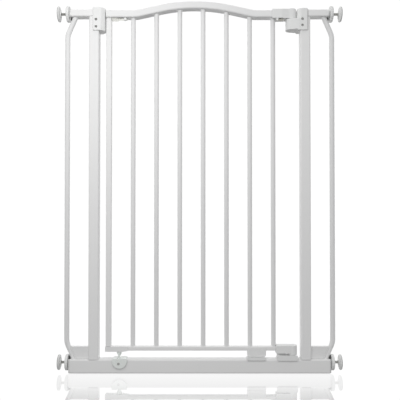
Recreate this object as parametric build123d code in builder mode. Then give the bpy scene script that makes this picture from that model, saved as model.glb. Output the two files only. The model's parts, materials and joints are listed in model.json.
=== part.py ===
from build123d import *
import math
import os

# Pressure-fit safety gate: a tubular U-frame held between two walls by four screw spindles,
# and a lift-and-swing door that hangs on two pivot pins and locks with a sliding bolt.
# +Z is up, +X points to the hinge side, -Y is the front. The origin is on the floor,
# under the middle of the gate.

# ---------------------------------------------------------------- driving dimensions (mm)
tube_wall = 1.5
edge_r = 4.0

# Base bar
base_length = 724.0
base_depth = 30.0
base_height = 39.0

# Posts and the short rails on top of them
post_width = 28.0
post_depth = 30.0
post_x = 296.0
stub_height = 20.0
stub_bottom = 997.0
stub_inner_x = 282.0
stub_outer_x = 360.5

# Corner gusset plates and bent side rods
gusset_top = 73.0
gusset_depth = 12.0
rod_r = 7.0
rod_x = 372.5
rod_weld_x = 350.5
rod_foot_x = 352.0
rod_low_bend_z = 84.0
rod_high_bend_z = 947.0
rod_bend_r = 50.0

# Door
rail_bottom = 995.0
rail_height = 20.0
rail_depth = 30.0
rail_left_x = -256.0
rail_right_x = 236.0
arch_x = -13.0
arch_half_span = 171.4
arch_rise = 25.0
crest_r = 470.0
shoulder_r = 60.0
low_rail_bottom = 62.0
low_rail_height = 11.5
low_rail_depth = 16.0
low_rail_left_x = -262.0
low_rail_right_x = 240.0
stile_width = 15.0
stile_x = -255.2
bar_r = 6.5
bar_count = 7
bar_first_x = -187.2
bar_pitch = 65.6

# Hinge line
hinge_x = 258.5
barrel_r = 13.5
pin_r = 4.0
bore_r = 4.06
lift_travel = 12.0

# Sliding bolt of the latch
bolt_thickness = 3.0
bolt_width = 12.0
bolt_bottom = 991.0
bolt_nose_x = -262.8
bolt_tail_x = -203.5
knob_x = -209.0
knob_z = 990.0

# Plastic housings on the posts
housing_depth = 40.0
housing_bottom = 957.0
housing_top = 1021.5

# Wall spindles
spindle_r = 4.0
spindle_top_z = 1007.0
spindle_low_z = 28.5
nut_r = 22.5
pad_r = 21.5
nut_inner_x = 366.5
nut_outer_x = 374.5
top_pad_face_x = 399.0
low_pad_face_x = 395.5
spindle_tail_x = 332.0

os.makedirs("parts", exist_ok=True)


# ---------------------------------------------------------------- helpers
def across(x, z):
    """Plane square to X, with its sketch axes along Y and Z."""
    return Plane(origin=(x, 0, z), x_dir=(0, 1, 0), z_dir=(1, 0, 0))


def facing(y):
    """Plane square to Y, with its sketch axes along X and Z and its normal towards the front."""
    return Plane(origin=(0, y, 0), x_dir=(1, 0, 0), z_dir=(0, -1, 0))


def save(piece, name):
    """Label one named piece and write its STEP file."""
    piece.part.label = name
    export_step(piece.part, "parts/" + name + ".step")


def tube(plane, width, height, length, corner, wall):
    """Rectangular tube whose section lies on the plane."""
    with BuildPart() as piece:
        with BuildSketch(plane):
            RectangleRounded(width, height, corner)
            RectangleRounded(width - 2 * wall, height - 2 * wall, corner - wall, mode=Mode.SUBTRACT)
        extrude(amount=length)
    return piece.part


def drill(x, z, radius, y_from, y_to):
    """Cut a hole along Y in the open part."""
    with BuildSketch(Plane(origin=(x, y_from, z), x_dir=(1, 0, 0), z_dir=(0, 1, 0))) as hole:
        Circle(radius)
    extrude(hole.sketch, amount=y_to - y_from, mode=Mode.SUBTRACT)


def screws(places, head_y, tip_y, name):
    """Recessed pan-head screws along Y, one node for the whole group."""
    with BuildPart() as piece:
        for x, z in places:
            with BuildSketch(Plane(origin=(x, head_y, z), x_dir=(1, 0, 0), z_dir=(0, 1, 0))):
                Circle(3.4)
            extrude(amount=2.2)
            with BuildSketch(Plane(origin=(x, head_y + 2.2, z), x_dir=(1, 0, 0), z_dir=(0, 1, 0))):
                Circle(1.9)
            extrude(amount=tip_y - head_y - 2.2)
            with BuildSketch(Plane(origin=(x, head_y, z), x_dir=(1, 0, 0), z_dir=(0, 1, 0))):
                Rectangle(4.4, 0.9)
                Rectangle(0.9, 4.4)
            extrude(amount=1.1, mode=Mode.SUBTRACT)
    save(piece, name)


# ---------------------------------------------------------------- frame tubes
catch_x = -222.5
cone_x = -225.0
catch_screw_z = 28.0
base_plane = across(-base_length / 2, base_height / 2)
with BuildPart() as base_bar:
    add(tube(base_plane, base_depth, base_height, base_length, edge_r, tube_wall))
    drill(cone_x, catch_screw_z, 2.1, -base_depth / 2 - 1, -base_depth / 2 + tube_wall + 1)
    with BuildSketch(Plane.XY.offset(base_height - tube_wall - 1)):
        with Locations((hinge_x, 0)):
            Circle(7.1)
    extrude(amount=tube_wall + 2, mode=Mode.SUBTRACT)
save(base_bar, "base_bar")

latch_screws = [(-289.5, 966.5), (-289.5, 987.0)]
hinge_screws = [(287.2, 970.7), (287.2, 988.0)]
for side, side_name, side_screws in ((-1, "left", latch_screws), (1, "right", hinge_screws)):
    post_height = stub_bottom - base_height
    post_plane = Plane(origin=(side * post_x, 0, base_height), x_dir=(1, 0, 0), z_dir=(0, 0, 1))
    with BuildPart() as post:
        add(tube(post_plane, post_width, post_depth, post_height, edge_r, tube_wall))
        for x, z in side_screws:
            drill(x, z, 2.1, -post_depth / 2 - 1, -post_depth / 2 + tube_wall + 1)
    save(post, side_name + "_post")

    stub_start = -stub_outer_x if side < 0 else stub_inner_x
    stub_length = stub_outer_x - stub_inner_x
    stub_plane = across(stub_start, stub_bottom + stub_height / 2)
    with BuildPart() as stub:
        add(tube(stub_plane, post_depth, stub_height, stub_length, edge_r, tube_wall))
    save(stub, side_name + "_stub_rail")

    # Folded gusset between the post, the base bar and the foot of the side rod
    plate_inner_x = side * (post_x + post_width / 2)
    lean = (rod_x - rod_foot_x) / (rod_low_bend_z - base_height)
    foot_x = side * (rod_foot_x - 8.6)
    head_x = side * (rod_foot_x - 8.6 + (gusset_top - base_height) * lean)
    with BuildPart() as gusset:
        with BuildSketch(facing(-gusset_depth / 2)):
            with BuildLine():
                Polyline(
                    (plate_inner_x, base_height),
                    (foot_x, base_height),
                    (head_x, gusset_top),
                    (plate_inner_x, gusset_top),
                    close=True,
                )
            make_face()
        extrude(amount=-gusset_depth)
    save(gusset, side_name + "_gusset")

    # Side rod: straight, with a bend towards the post at each end
    with BuildPart() as side_rod:
        with BuildLine() as rod_path:
            FilletPolyline(
                (side * rod_foot_x, 0, base_height - 0.5),
                (side * rod_x, 0, rod_low_bend_z),
                (side * rod_x, 0, rod_high_bend_z),
                (side * rod_weld_x, 0, stub_bottom + 0.5),
                radius=rod_bend_r,
            )
        with BuildSketch(Plane(origin=rod_path.line @ 0, z_dir=rod_path.line % 0)):
            Circle(rod_r)
        sweep()
        with BuildSketch(Plane.XY.offset(base_height)):
            with Locations((side * rod_foot_x, 0)):
                Rectangle(60, 40)
        extrude(amount=-20, mode=Mode.SUBTRACT)
        with BuildSketch(Plane.XY.offset(stub_bottom)):
            with Locations((side * rod_weld_x, 0)):
                Rectangle(60, 40)
        extrude(amount=20, mode=Mode.SUBTRACT)
    save(side_rod, side_name + "_side_rod")

# ---------------------------------------------------------------- spindles, nuts and wall pads
corner_names = (
    ("upper_left", -1, spindle_top_z),
    ("upper_right", 1, spindle_top_z),
    ("lower_left", -1, spindle_low_z),
    ("lower_right", 1, spindle_low_z),
)


def along(side, x, z):
    """Plane square to X with its normal pointing out to the wall of that side."""
    return Plane(origin=(side * x, 0, z), x_dir=(0, 1, 0), z_dir=(side, 0, 0))


with BuildPart() as end_plugs:
    for corner, side, z in corner_names:
        is_base = z < 500
        plug_width = base_depth if is_base else post_depth
        plug_height = base_height if is_base else stub_height
        plug_z = base_height / 2 if is_base else stub_bottom + stub_height / 2
        plug_inner = 2 * tube_wall + 0.4
        plug_x = base_length / 2 + 1 if is_base else stub_outer_x
        with BuildSketch(along(side, plug_x - 12, plug_z)):
            RectangleRounded(plug_width - plug_inner, plug_height - plug_inner, 2.5)
        extrude(amount=12)
        with BuildSketch(along(side, plug_x, plug_z)):
            RectangleRounded(plug_width - 2, plug_height - 2, 3)
        extrude(amount=2)
        with BuildSketch(along(side, plug_x + 2, z)):
            Circle(8.5)
        extrude(amount=nut_inner_x - plug_x - 2.4)
        with BuildSketch(along(side, plug_x - 13, z)):
            Circle(spindle_r + 0.4)
        extrude(amount=nut_inner_x - plug_x + 14, mode=Mode.SUBTRACT)
save(end_plugs, "tube_end_plugs")

for corner, side, z in corner_names:
    pad_face_x = top_pad_face_x if z > 500 else low_pad_face_x
    with BuildPart() as wheel_nut:
        with BuildSketch(along(side, nut_inner_x, z)):
            Circle(nut_r)
            with PolarLocations(nut_r + 1.6, 20):
                Circle(2.2, mode=Mode.SUBTRACT)
        extrude(amount=nut_outer_x - nut_inner_x)
        with BuildSketch(along(side, nut_outer_x - 1.6, z)):
            Circle(nut_r - 4.5)
            Circle(9.0, mode=Mode.SUBTRACT)
        extrude(amount=1.7, mode=Mode.SUBTRACT)
        with BuildSketch(along(side, nut_outer_x, z)):
            Circle(7.5)
        extrude(amount=3.5)
        with BuildSketch(along(side, nut_inner_x - 1, z)):
            Circle(spindle_r + 0.06)
        extrude(amount=14, mode=Mode.SUBTRACT)
    save(wheel_nut, "wheel_nut_" + corner)

    with BuildPart() as spindle:
        with BuildSketch(along(side, spindle_tail_x, z)):
            Circle(spindle_r)
        extrude(amount=pad_face_x - 3.4 - spindle_tail_x)
    save(spindle, "spindle_" + corner)

    with BuildPart() as pad_cup:
        with BuildSketch(along(side, pad_face_x - 5.4, z)):
            Circle(pad_r)
        extrude(amount=3.4)
        with BuildSketch(along(side, pad_face_x - 8.4, z)):
            Circle(8.0)
        extrude(amount=4, taper=-20)
        with BuildSketch(along(side, pad_face_x - 10, z)):
            Circle(spindle_r + 0.02)
        extrude(amount=6.6, mode=Mode.SUBTRACT)
    save(pad_cup, "pad_cup_" + corner)

    with BuildPart() as wall_pad:
        with BuildSketch(along(side, pad_face_x - 2, z)):
            Circle(pad_r - 0.8)
        extrude(amount=2)
    save(wall_pad, "wall_pad_" + corner)

# ---------------------------------------------------------------- latch housing on the left post
housing_left_x = -299.0
housing_right_x = -265.0
with BuildPart() as latch_housing:
    with BuildSketch(Plane.XY.offset(housing_bottom)):
        with BuildLine():
            Polyline(
                (housing_left_x, -housing_depth / 2),
                (housing_right_x - 11, -housing_depth / 2),
                (housing_right_x, -9),
                (housing_right_x, 9),
                (housing_right_x - 11, housing_depth / 2),
                (housing_left_x, housing_depth / 2),
                close=True,
            )
        make_face()
        fillet(vertices().filter_by(lambda v: v.X > housing_left_x + 1), 8)
        fillet(vertices().filter_by(lambda v: v.X < housing_left_x + 1), 2.5)
    extrude(amount=housing_top - housing_bottom)
    fillet(edges().group_by(Axis.Z)[-1], 2.0)
    # pocket for the post and the short rail
    with BuildSketch(Plane.XY.offset(housing_bottom - 1)):
        with Locations((-post_x, 0)):
            Rectangle(post_width + 0.2, post_depth + 0.2)
    extrude(amount=stub_bottom - housing_bottom + 1, mode=Mode.SUBTRACT)
    with BuildSketch(across(-320, stub_bottom + stub_height / 2)):
        Rectangle(post_depth + 0.2, stub_height + 0.2)
    extrude(amount=320 - stub_inner_x + 0.1, mode=Mode.SUBTRACT)
    # slot for the bolt, tall enough for the lifted door
    with BuildSketch(across(-stub_inner_x - 1, bolt_bottom - 1.5 + (bolt_thickness + lift_travel + 3) / 2)):
        Rectangle(bolt_width + 1.6, bolt_thickness + lift_travel + 3)
    extrude(amount=30, mode=Mode.SUBTRACT)
    for x, z in latch_screws:
        drill(x, z, 2.1, -housing_depth / 2 - 1, -post_depth / 2 + 0.5)
        drill(x, z, 3.8, -housing_depth / 2 - 1, -housing_depth / 2 + 2.9)

for name, keep_side in (("latch_housing_front", Keep.TOP), ("latch_housing_back", Keep.BOTTOM)):
    with BuildPart() as shell:
        add(latch_housing.part)
        split(bisect_by=Plane.XZ, keep=keep_side)
    save(shell, name)
screws(latch_screws, -housing_depth / 2 + 0.7, -12.0, "latch_housing_screws")

# ---------------------------------------------------------------- hinge housing on the right post
cup_top = 990.5
cup_r = 16.2
cup_bottom = 960.5
with BuildPart() as hinge_housing:
    with BuildSketch(Plane.XY.offset(cup_bottom)):
        with Locations((287.9, 0)):
            RectangleRounded(28.2, housing_depth, 3)
        with Locations((hinge_x, 0)):
            Circle(cup_r)
        make_hull()
    extrude(amount=cup_top - cup_bottom)
    with BuildSketch(Plane.XY.offset(housing_bottom + 1)):
        with Locations((287.9, 0)):
            RectangleRounded(28.2, housing_depth, 3)
    extrude(amount=cup_bottom - housing_bottom - 1)
    with BuildSketch(Plane.XY.offset(cup_top)):
        with Locations((287.9, 0)):
            Rectangle(28.2, housing_depth)
        fillet(vertices().filter_by(lambda v: v.X < 290), 13)
        fillet(vertices().filter_by(lambda v: v.X > 300), 3)
    extrude(amount=housing_top - 2.5 - cup_top)
    fillet(edges().group_by(Axis.Z)[-1], 2.0)
    with BuildSketch(Plane.XY.offset(housing_bottom - 1)):
        with Locations((post_x, 0)):
            Rectangle(post_width + 0.2, post_depth + 0.2)
    extrude(amount=stub_bottom - housing_bottom + 1, mode=Mode.SUBTRACT)
    with BuildSketch(across(stub_inner_x - 0.1, stub_bottom + stub_height / 2)):
        Rectangle(post_depth + 0.2, stub_height + 0.2)
    extrude(amount=40, mode=Mode.SUBTRACT)
    # socket of the upper pivot pin
    with BuildSketch(Plane.XY.offset(963)):
        with Locations((hinge_x, 0)):
            Circle(bore_r)
    extrude(amount=40, mode=Mode.SUBTRACT)
    for x, z in hinge_screws:
        drill(x, z, 2.1, -housing_depth / 2 - 1, -post_depth / 2 + 0.5)
        drill(x, z, 3.8, -housing_depth / 2 - 1, -housing_depth / 2 + 2.9)

for name, keep_side in (("hinge_housing_front", Keep.TOP), ("hinge_housing_back", Keep.BOTTOM)):
    with BuildPart() as shell:
        add(hinge_housing.part)
        split(bisect_by=Plane.XZ, keep=keep_side)
    save(shell, name)
screws(hinge_screws, -housing_depth / 2 + 0.7, -12.0, "hinge_housing_screws")

# ---------------------------------------------------------------- fittings on the base bar
seat_top = base_height + 4.0
with BuildPart() as lower_hinge_seat:
    with BuildSketch(Plane.XY.offset(base_height)):
        with Locations((244, 0)):
            RectangleRounded(56, base_depth + 6, 4)
    extrude(amount=4)
    with BuildSketch(facing(-base_depth / 2 - 3)):
        with Locations((244, base_height + 4.2)):
            RectangleRounded(56, 14.6, 2)
    extrude(amount=-2.9)
    with BuildSketch(Plane.XY.offset(seat_top)):
        with Locations((hinge_x, 0)):
            Circle(9.0)
        with Locations((240, 0)):
            Rectangle(24, 12)
    extrude(amount=6.3)
    with BuildSketch(Plane.XY.offset(seat_top)):
        with Locations((230.2, 0)):
            Rectangle(27, 14)
    extrude(amount=8.5)
    with BuildSketch(Plane.XY.offset(base_height - 9)):
        with Locations((hinge_x, 0)):
            Circle(7.0)
    extrude(amount=9)
    with BuildSketch(Plane.XY.offset(base_height - 8)):
        with Locations((hinge_x, 0)):
            Circle(bore_r)
    extrude(amount=24, mode=Mode.SUBTRACT)
save(lower_hinge_seat, "lower_hinge_seat")

with BuildPart() as stop_plate:
    with BuildSketch(Plane.XY.offset(base_height)):
        with Locations((158, 0)):
            RectangleRounded(52, base_depth + 4, 3)
    extrude(amount=2.5)
    with BuildSketch(facing(-base_depth / 2 - 2)):
        with Locations((158, base_height + 1.6)):
            RectangleRounded(52, 8.4, 1.2)
    extrude(amount=-1.9)
save(stop_plate, "stop_plate")

catch_r = 21.5
catch_top = base_height + 3.2
with BuildPart() as lower_catch:
    with BuildSketch(Plane(origin=(catch_x, -base_depth / 2, 36), x_dir=(1, 0, 0), z_dir=(0, -1, 0))):
        Circle(catch_r)
        with Locations((0, catch_r + catch_top - 36)):
            Rectangle(3 * catch_r, 2 * catch_r, mode=Mode.SUBTRACT)
    extrude(amount=5)
    with BuildSketch(Plane.XY.offset(base_height)):
        with Locations((catch_x, -2)):
            Rectangle(2 * catch_r - 6, base_depth - 2)
    extrude(amount=catch_top - base_height)
    fillet(edges().filter_by(GeomType.CIRCLE).group_by(Axis.Y)[0], 1.8)
    # groove that the pivot cone drops into, open front and back
    with BuildSketch(Plane(origin=(cone_x, -30, 0), x_dir=(1, 0, 0), z_dir=(0, 1, 0))):
        with Locations((0, -catch_top)):
            Polygon((-4.2, 1), (4.2, 1), (2.9, -1.8), (-2.9, -1.8), align=None)
            Polygon((-4.2, -1), (4.2, -1), (2.9, 1.8), (-2.9, 1.8), align=None)
    extrude(amount=60, mode=Mode.SUBTRACT)
    drill(cone_x, catch_screw_z, 2.1, -base_depth / 2 - 6, -base_depth / 2 + 1)
    drill(cone_x, catch_screw_z, 3.8, -base_depth / 2 - 6, -base_depth / 2 - 2.6)
save(lower_catch, "lower_catch")
screws([(cone_x, catch_screw_z)], -base_depth / 2 - 4.8, -base_depth / 2 + 4, "lower_catch_screw")

# ---------------------------------------------------------------- pivot pins
with BuildPart() as upper_pivot_pin:
    with BuildSketch(Plane.XY.offset(964)):
        with Locations((hinge_x, 0)):
            Circle(pin_r)
    extrude(amount=50)
    chamfer(edges().group_by(Axis.Z)[-1], 0.8)
save(upper_pivot_pin, "upper_pivot_pin")

with BuildPart() as lower_pivot_pin:
    with BuildSketch(Plane.XY.offset(base_height - 7.8)):
        with Locations((hinge_x, 0)):
            Circle(pin_r)
    extrude(amount=42)
    chamfer(edges().group_by(Axis.Z)[-1], 0.8)
save(lower_pivot_pin, "lower_pivot_pin")


# ---------------------------------------------------------------- door rails and bars
def arch_points():
    """Centre-line numbers of the arch: slope angle and straight length between its two arcs."""
    low = 0.0
    high = math.radians(40)
    for step in range(60):
        angle = (low + high) / 2
        bend_span = (crest_r + shoulder_r) * math.sin(angle)
        straight = (arch_half_span - bend_span) / math.cos(angle)
        rise = (crest_r + shoulder_r) * (1 - math.cos(angle)) + straight * math.sin(angle)
        if rise < arch_rise:
            low = angle
        else:
            high = angle
    return angle, straight


slope, straight = arch_points()
rail_mid = rail_bottom + rail_height / 2
half_run = shoulder_r * math.sin(slope / 2)
half_rise = shoulder_r * (1 - math.cos(slope / 2))
dip_x = shoulder_r * math.sin(slope)
dip_z = shoulder_r * (1 - math.cos(slope))
top_x = crest_r * math.sin(slope)
top_z = crest_r * (1 - math.cos(slope))
foot_left = arch_x - arch_half_span
foot_right = arch_x + arch_half_span


def rail_sweep(hollow):
    """Sweep the rail's section along its arched centre line, as a tube or filled."""
    with BuildPart() as piece:
        with BuildLine() as rail_path:
            Line((rail_left_x, 0, rail_mid), (foot_left, 0, rail_mid))
            ThreePointArc(
                (foot_left, 0, rail_mid),
                (foot_left + half_run, 0, rail_mid + half_rise),
                (foot_left + dip_x, 0, rail_mid + dip_z),
            )
            Line(
                (foot_left + dip_x, 0, rail_mid + dip_z),
                (arch_x - top_x, 0, rail_mid + arch_rise - top_z),
            )
            ThreePointArc(
                (arch_x - top_x, 0, rail_mid + arch_rise - top_z),
                (arch_x, 0, rail_mid + arch_rise),
                (arch_x + top_x, 0, rail_mid + arch_rise - top_z),
            )
            Line(
                (arch_x + top_x, 0, rail_mid + arch_rise - top_z),
                (foot_right - dip_x, 0, rail_mid + dip_z),
            )
            ThreePointArc(
                (foot_right - dip_x, 0, rail_mid + dip_z),
                (foot_right - half_run, 0, rail_mid + half_rise),
                (foot_right, 0, rail_mid),
            )
            Line((foot_right, 0, rail_mid), (rail_right_x, 0, rail_mid))
        with BuildSketch(across(rail_left_x, rail_mid)):
            RectangleRounded(rail_depth, rail_height, edge_r)
            if hollow:
                RectangleRounded(
                    rail_depth - 2 * tube_wall,
                    rail_height - 2 * tube_wall,
                    2,
                    mode=Mode.SUBTRACT,
                )
        sweep()
    return piece


door_top_rail = rail_sweep(True)
rail_envelope = rail_sweep(False)
save(door_top_rail, "door_top_rail")

low_rail_z = low_rail_bottom + low_rail_height / 2
low_rail_length = low_rail_right_x - low_rail_left_x
low_rail_plane = across(low_rail_left_x, low_rail_z)
with BuildPart() as door_bottom_rail:
    add(tube(low_rail_plane, low_rail_depth, low_rail_height, low_rail_length, 2.5, 1.2))
save(door_bottom_rail, "door_bottom_rail")

bars_bottom = low_rail_bottom + low_rail_height
stile_plane = Plane(origin=(stile_x, 0, bars_bottom), x_dir=(1, 0, 0), z_dir=(0, 0, 1))
with BuildPart() as latch_stile:
    add(tube(stile_plane, stile_width, stile_width, rail_bottom - bars_bottom, 2.5, 1.2))
    with BuildSketch(across(stile_x - stile_width, bolt_bottom + bolt_thickness / 2)):
        Rectangle(bolt_width + 0.6, bolt_thickness + 0.6)
    extrude(amount=2 * stile_width, mode=Mode.SUBTRACT)
save(latch_stile, "latch_stile")

for number in range(bar_count):
    bar_x = bar_first_x + number * bar_pitch
    reach = max(0.0, arch_rise * (1 - abs(bar_x - arch_x) / arch_half_span))
    with BuildPart() as bar:
        with BuildSketch(Plane.XY.offset(bars_bottom)):
            with Locations((bar_x, 0)):
                Circle(bar_r)
                Circle(bar_r - 1.2, mode=Mode.SUBTRACT)
        extrude(amount=rail_bottom + reach + rail_height / 2 - bars_bottom)
        add(rail_envelope.part, mode=Mode.SUBTRACT)
    save(bar, "bar_" + str(number + 1))

# ---------------------------------------------------------------- door fittings
with BuildPart() as rail_end_cap:
    with BuildSketch(across(rail_left_x - 7, rail_mid)):
        RectangleRounded(rail_depth, rail_height, edge_r)
    extrude(amount=7)
    with BuildSketch(across(rail_left_x, rail_mid)):
        RectangleRounded(rail_depth - 2 * tube_wall - 0.4, rail_height - 2 * tube_wall - 0.4, 2)
    extrude(amount=12)
    with BuildSketch(across(rail_left_x - 5, rail_mid)):
        RectangleRounded(rail_depth - 7, rail_height - 7, 1.5)
    extrude(amount=18, mode=Mode.SUBTRACT)
    fillet(edges().group_by(Axis.X)[0], 1.5)
save(rail_end_cap, "rail_end_cap")

arm_left_x = 203.0
arm_bottom = 992.0
arm_top = 1018.0
last_bar_x = bar_first_x + (bar_count - 1) * bar_pitch
anchor_x = 217.2
spring_y = -11.0
spring_z = 988.2
with BuildPart() as upper_hinge_arm:
    with BuildSketch(Plane.XY.offset(arm_bottom)):
        with BuildLine():
            Polyline(
                (arm_left_x, -17),
                (230, -17),
                (250, -barrel_r),
                (hinge_x, -barrel_r),
                (hinge_x, barrel_r),
                (250, barrel_r),
                (230, 17),
                (arm_left_x, 17),
                close=True,
            )
        make_face()
        with Locations((hinge_x, 0)):
            Circle(barrel_r)
    extrude(amount=arm_top - arm_bottom)
    fillet(edges().group_by(Axis.Z)[-1].filter_by(lambda e: e.center().X < 240), 2.5)
    with BuildSketch(Plane.XY.offset(cup_top + 0.7)):
        with Locations((hinge_x, 0)):
            Circle(barrel_r)
    extrude(amount=6)
    with BuildSketch(across(arm_left_x - 1, rail_mid)):
        RectangleRounded(rail_depth + 0.2, rail_height + 0.2, edge_r)
    extrude(amount=rail_right_x - arm_left_x + 1.2, mode=Mode.SUBTRACT)
    with BuildSketch(Plane.XY.offset(arm_bottom - 2)):
        with Locations((last_bar_x, 0)):
            Circle(bar_r + 0.2)
    extrude(amount=8, mode=Mode.SUBTRACT)
    with BuildSketch(Plane.XY.offset(arm_bottom - 12)):
        with Locations((hinge_x, 0)):
            Circle(bore_r)
    extrude(amount=36, mode=Mode.SUBTRACT)
    # fork for the moving end of the closing spring
    for y in (spring_y - 5.0, spring_y + 3.4):
        with BuildSketch(facing(y)):
            with Locations((anchor_x, 989.5)):
                RectangleRounded(6, 10, 2.5)
        extrude(amount=-1.6)
    with BuildSketch(Plane(origin=(anchor_x, spring_y - 4.5, spring_z), x_dir=(1, 0, 0), z_dir=(0, 1, 0))):
        Circle(1.3)
    extrude(amount=9)
save(upper_hinge_arm, "upper_hinge_arm")

with BuildPart() as upper_hinge_cap:
    with BuildSketch(Plane.XY.offset(arm_top)):
        with Locations((hinge_x, 0)):
            Circle(barrel_r)
    extrude(amount=2.4)
    fillet(edges().group_by(Axis.Z)[-1], 1.6)
save(upper_hinge_cap, "upper_hinge_cap")

low_arm_left_x = 212.5
with BuildPart() as lower_hinge_arm:
    with BuildSketch(Plane.XY.offset(55.5)):
        with Locations((229.5, 0)):
            RectangleRounded(34, 26, 2.5)
        with Locations((248, 0)):
            Rectangle(21, 25)
        with Locations((hinge_x, 0)):
            Circle(barrel_r)
    extrude(amount=21.2)
    fillet(edges().group_by(Axis.Z)[-1], 1.5)
    with BuildSketch(Plane.XY.offset(seat_top + 7)):
        with Locations((hinge_x, 0)):
            Circle(barrel_r)
    extrude(amount=8)
    with BuildSketch(across(low_arm_left_x - 1, low_rail_z)):
        RectangleRounded(low_rail_depth + 0.2, low_rail_height + 0.2, 2.5)
    extrude(amount=low_rail_right_x - low_arm_left_x + 1.2, mode=Mode.SUBTRACT)
    with BuildSketch(Plane.XY.offset(bars_bottom - 1)):
        with Locations((last_bar_x, 0)):
            Circle(bar_r + 0.2)
    extrude(amount=12, mode=Mode.SUBTRACT)
    with BuildSketch(Plane.XY.offset(40)):
        with Locations((hinge_x, 0)):
            Circle(bore_r)
    extrude(amount=35, mode=Mode.SUBTRACT)
save(lower_hinge_arm, "lower_hinge_arm")

bracket_bottom = 59.3
with BuildPart() as latch_corner_bracket:
    with BuildSketch(facing(-9.6)):
        with BuildLine():
            Polyline(
                (-263.6, bracket_bottom),
                (-212, bracket_bottom),
                (-199.5, low_rail_bottom),
                (-199.5, 66),
                (-204, bars_bottom - 0.6),
                (-263.6, bars_bottom - 0.6),
                close=True,
            )
        make_face()
    extrude(amount=-19.2)
    with BuildSketch(across(low_rail_left_x - 0.1, low_rail_z + 4)):
        Rectangle(low_rail_depth + 0.2, low_rail_height + 8.2)
    extrude(amount=80, mode=Mode.SUBTRACT)
save(latch_corner_bracket, "latch_corner_bracket")

with BuildPart() as locating_cone:
    with BuildSketch(Plane.XY.offset(bracket_bottom)):
        with Locations((cone_x, 0)):
            Circle(7.6)
    extrude(amount=-2.5)
    with BuildSketch(Plane.XY.offset(bracket_bottom - 2.5)):
        with Locations((cone_x, 0)):
            Circle(7.6)
    extrude(amount=-12, taper=23.5)
    with BuildSketch(Plane.XY.offset(bracket_bottom - 14)):
        with Locations((cone_x, 0)):
            Circle(2.2)
    extrude(amount=-3.7)
save(locating_cone, "locating_cone")

with BuildPart() as stop_block:
    with BuildSketch(Plane.XY.offset(48)):
        with Locations((158.8, 0)):
            RectangleRounded(51.5, low_rail_depth + 4, 2)
    extrude(amount=low_rail_bottom + 5 - 48)
    fillet(edges().group_by(Axis.Z)[0], 1.0)
    with BuildSketch(across(120, low_rail_z)):
        Rectangle(low_rail_depth + 0.2, low_rail_height + 0.2)
    extrude(amount=80, mode=Mode.SUBTRACT)
save(stop_block, "stop_block")

# Closing spring: a close coil as rings on one wire, with a loop round the cross pin of the arm
# and a free loop at the other end
coil_r = 2.9
wire_r = 0.6
link_r = 0.45
coil_start_x = 221.2
coil_pitch = 1.6
coil_turns = 7
free_x = 235.3
with BuildPart() as coil:
    for turn in range(coil_turns):
        with BuildSketch(Plane.XZ):
            with Locations((coil_start_x + turn * coil_pitch, coil_r)):
                Circle(wire_r)
        revolve(axis=Axis.X)
    for loop_x in (anchor_x, free_x):
        with BuildSketch(Plane.XY):
            with Locations((loop_x + coil_r, 0)):
                Circle(wire_r)
        revolve(axis=Axis((loop_x, 0, 0), (0, 1, 0)))
    with BuildSketch(across(anchor_x, coil_r)):
        Circle(link_r)
    extrude(amount=free_x - anchor_x)
with BuildPart() as closing_spring:
    with Locations((0, spring_y, spring_z)):
        add(coil.part)
save(closing_spring, "closing_spring")

# ---------------------------------------------------------------- sliding latch bolt
with BuildPart() as bolt_guide:
    with BuildSketch(across(-246.5, rail_bottom)):
        with Locations((0, -3.0)):
            Rectangle(bolt_width + 3.2, 6.0)
        with Locations((0, -2.3)):
            Rectangle(bolt_width + 0.8, 5.0, mode=Mode.SUBTRACT)
    extrude(amount=16.5)
save(bolt_guide, "bolt_guide")

with BuildPart() as bolt_strip:
    with BuildSketch(Plane.XY.offset(bolt_bottom)):
        with Locations(((bolt_nose_x + bolt_tail_x) / 2, 0)):
            Rectangle(bolt_tail_x - bolt_nose_x, bolt_width)
        fillet(vertices().filter_by(lambda v: v.X > -210), 5)
        chamfer(vertices().filter_by(lambda v: v.X < -210), 1.5)
    extrude(amount=bolt_thickness)
save(bolt_strip, "bolt_strip")

with BuildPart() as bolt_knob:
    with BuildSketch(facing(-bolt_width / 2 - 0.02)):
        with Locations((knob_x, knob_z)):
            Circle(2.4)
    extrude(amount=3)
    with BuildSketch(facing(-bolt_width / 2 - 2)):
        with Locations((knob_x, knob_z)):
            Circle(4.4)
    extrude(amount=6)
    fillet(edges().group_by(Axis.Y)[0], 2.0)
save(bolt_knob, "bolt_knob")
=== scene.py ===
import bpy
import bmesh
import json
import math
from mathutils import Matrix, Vector


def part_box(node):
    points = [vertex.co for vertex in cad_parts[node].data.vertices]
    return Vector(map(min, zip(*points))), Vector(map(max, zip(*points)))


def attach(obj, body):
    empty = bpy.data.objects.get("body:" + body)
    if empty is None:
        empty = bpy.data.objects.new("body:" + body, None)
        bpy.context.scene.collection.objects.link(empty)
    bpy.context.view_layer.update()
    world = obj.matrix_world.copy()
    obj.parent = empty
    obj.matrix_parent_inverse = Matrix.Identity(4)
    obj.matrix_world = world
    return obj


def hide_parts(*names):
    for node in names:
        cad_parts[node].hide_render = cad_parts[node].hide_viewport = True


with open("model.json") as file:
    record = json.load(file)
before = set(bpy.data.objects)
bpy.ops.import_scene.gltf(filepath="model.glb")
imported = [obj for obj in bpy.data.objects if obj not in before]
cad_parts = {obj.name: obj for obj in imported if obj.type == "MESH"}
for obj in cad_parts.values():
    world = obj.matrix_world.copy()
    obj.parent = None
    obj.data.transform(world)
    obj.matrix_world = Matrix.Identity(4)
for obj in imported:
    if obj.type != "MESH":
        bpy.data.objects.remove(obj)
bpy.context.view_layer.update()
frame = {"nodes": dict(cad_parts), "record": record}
NODES = frame["nodes"]
RECORD = frame["record"]
SCENE = bpy.context.scene
MM = 0.001
SIDES = (("left", -1), ("right", 1))


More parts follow.
